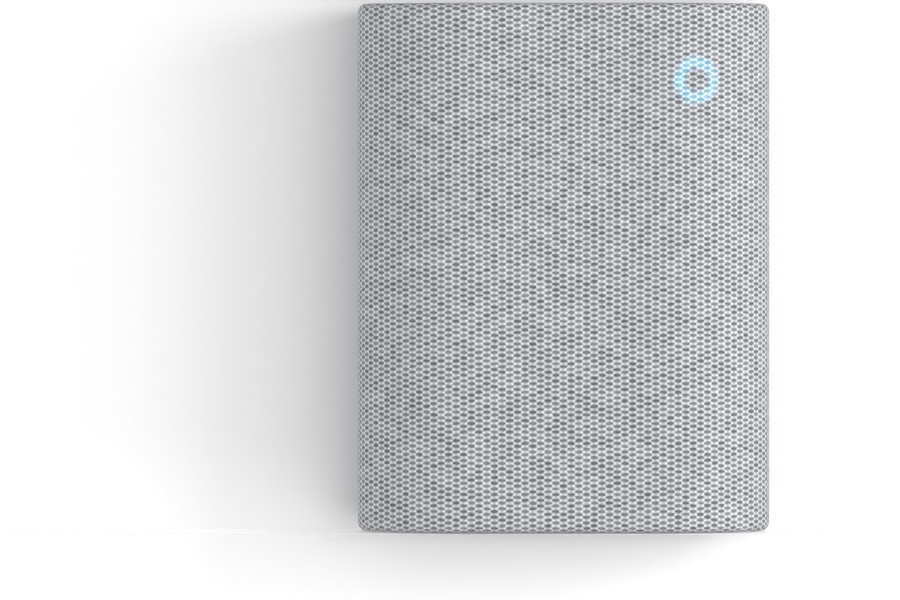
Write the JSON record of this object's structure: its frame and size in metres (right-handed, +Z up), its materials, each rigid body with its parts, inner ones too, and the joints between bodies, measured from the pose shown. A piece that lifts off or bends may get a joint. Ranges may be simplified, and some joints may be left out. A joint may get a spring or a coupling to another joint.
{
  "type": "smart speaker",
  "caption": "Portrait cloth-wrapped smart speaker with a glowing ring behind the cloth, flush top keys, and a rear panel with power inlet, mute slider and wall slots.",
  "frame": {"origin": "centre of the base, on the surface that the speaker stands on", "axes": "+Z up, the front looks along -Y, +X to the right seen from the front"},
  "size_m": [0.124, 0.052, 0.159],
  "materials": {
    "cloth": "matt woven",
    "dark_plastic": "fine matt",
    "light_plastic": "fine matt",
    "panel_plastic": "fine spark-eroded grain",
    "grey_rubber": "matt",
    "black_rubber": "satin",
    "diffuser": "frosted, lit pale blue from behind",
    "circuit_board": "green solder mask",
    "steel": "zinc plated",
    "magnet": "ferrite",
    "copper": "enamelled winding",
    "cone": "pressed fibre",
    "spider": "resin-dipped weave",
    "silk": "coated silk",
    "foam": "open-cell foam"
  },
  "bodies": {
    "enclosure": {"fabric_sleeve": "cloth", "grille_shell": "dark_plastic", "rear_housing": "dark_plastic", "rear_chassis": "dark_plastic", "top_cap": "light_plastic", "top_board": "circuit_board", "volume_up_switch": "dark_plastic", "volume_down_switch": "dark_plastic", "microphone_left": "steel", "microphone_right": "steel", "bottom_cap": "light_plastic", "foot_pad": "grey_rubber", "ring_diffuser": "diffuser", "ring_housing": "dark_plastic", "ring_led_board": "circuit_board", "front_baffle": "dark_plastic", "baffle_gasket": "foam", "acoustic_tub": "dark_plastic", "damping_foam": "foam", "woofer_basket": "dark_plastic", "woofer_surround": "black_rubber", "woofer_spider": "spider", "woofer_top_plate": "steel", "woofer_magnet": "magnet", "woofer_yoke": "steel", "woofer_screw_1": "steel", "woofer_screw_2": "steel", "woofer_screw_3": "steel", "woofer_screw_4": "steel", "tweeter_faceplate": "dark_plastic", "tweeter_magnet_cup": "steel", "passive_frame": "dark_plastic", "passive_surround": "black_rubber", "main_board": "circuit_board", "shield_can": "steel", "amp_board": "circuit_board", "heat_spreader": "steel", "wifi_antenna": "copper", "top_flex_cable": "copper", "inlet_cup": "panel_plastic", "dc_jack": "dark_plastic", "power_lead": "black_rubber", "mute_switch": "dark_plastic", "reset_switch": "dark_plastic", "rear_panel": "panel_plastic", "rear_screw_1": "steel", "rear_screw_2": "steel", "rear_screw_3": "steel", "rear_screw_4": "steel"},
    "woofer_cone_assembly": {"woofer_cone": "cone", "woofer_dust_cap": "cone", "woofer_voice_coil": "copper"},
    "tweeter_dome_assembly": {"tweeter_dome": "silk", "tweeter_voice_coil": "copper"},
    "passive_assembly": {"passive_diaphragm": "cone", "passive_mass": "steel"},
    "volume_up": {"volume_up_key": "light_plastic"},
    "volume_down": {"volume_down_key": "light_plastic"},
    "mute": {"mute_slider": "grey_rubber"},
    "reset": {"reset_button": "grey_rubber"}
  },
  "joints": [
    {"name": "woofer_stroke", "type": "slide", "parent": "enclosure", "child": "woofer_cone_assembly", "axis": [0, -1, 0], "range_m": [-0.004, 0.004], "stiffness_N_per_m": 1500},
    {"name": "tweeter_stroke", "type": "slide", "parent": "enclosure", "child": "tweeter_dome_assembly", "axis": [0, -1, 0], "range_m": [-0.0004, 0.0004], "stiffness_N_per_m": 1500},
    {"name": "passive_stroke", "type": "slide", "parent": "enclosure", "child": "passive_assembly", "axis": [0, -1, 0], "range_m": [-0.0045, 0.0045], "stiffness_N_per_m": 1000},
    {"name": "volume_up_press", "type": "slide", "parent": "enclosure", "child": "volume_up", "axis": [0, 0, -1], "range_m": [0, 0.0007], "stiffness_N_per_m": 1500},
    {"name": "volume_down_press", "type": "slide", "parent": "enclosure", "child": "volume_down", "axis": [0, 0, -1], "range_m": [0, 0.0007], "stiffness_N_per_m": 1500},
    {"name": "mute_slide", "type": "slide", "parent": "enclosure", "child": "mute", "axis": [1, 0, 0], "range_m": [0, 0.003]},
    {"name": "reset_press", "type": "slide", "parent": "enclosure", "child": "reset", "axis": [0, -1, 0], "range_m": [0, 0.0006], "stiffness_N_per_m": 1500}
  ]
}
